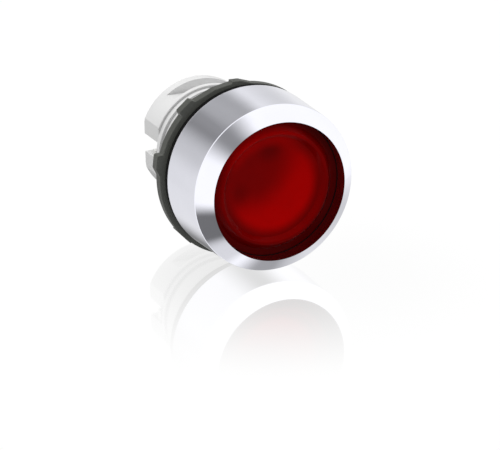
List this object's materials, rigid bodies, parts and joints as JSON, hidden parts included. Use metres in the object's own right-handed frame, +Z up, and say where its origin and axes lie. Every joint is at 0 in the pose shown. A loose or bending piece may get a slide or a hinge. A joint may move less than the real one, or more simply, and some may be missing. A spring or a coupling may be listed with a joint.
{
  "type": "illuminated push button operator",
  "caption": "Round panel-mounted push button: flush red lens in a bevelled chrome bezel on a slotted plastic body, sprung to return by itself.",
  "frame": {"origin": "on the button's axis, in the plane where the gasket seats on the front of the panel", "axes": "+Y runs back along the button's axis into the panel, so the button faces -Y; +Z is up, towards the anti-rotation key"},
  "size_m": [0.0314, 0.0338, 0.0315],
  "materials": {
    "bright_chrome": "polished chrome plate",
    "red_lens": "translucent, glossy",
    "dark_grey_plastic": "fine matt",
    "light_grey_plastic": "satin moulded",
    "white_plastic": "satin moulded",
    "black_plastic": "satin moulded",
    "black_rubber": "matt",
    "opal_plastic": "translucent white",
    "clear_film": "clear",
    "spring_steel": "drawn"
  },
  "bodies": {
    "operator": {"bezel": "bright_chrome", "bezel_snap_ring": "spring_steel", "bezel_seal": "black_rubber", "front_seal": "black_rubber", "front_sleeve": "black_plastic", "rear_body": "light_grey_plastic", "lug_ring": "dark_grey_plastic", "anti_rotation_ring": "black_plastic", "panel_gasket": "black_rubber", "stem_seal": "black_rubber", "spring_washer": "spring_steel", "return_spring": "spring_steel"},
    "button": {"plunger": "white_plastic", "lens_cap": "red_lens", "lens_seal": "black_rubber", "marking_insert": "clear_film", "diffuser": "opal_plastic", "retaining_clip": "spring_steel", "actuator_ring": "white_plastic", "upper_pusher": "black_plastic", "lower_pusher": "black_plastic"}
  },
  "joints": [
    {"name": "press", "type": "slide", "parent": "operator", "child": "button", "axis": [0, 1, 0], "range_m": [0, 0.0045], "stiffness_N_per_m": 400, "springref_m": -0.005, "deforming": ["return_spring"]}
  ]
}
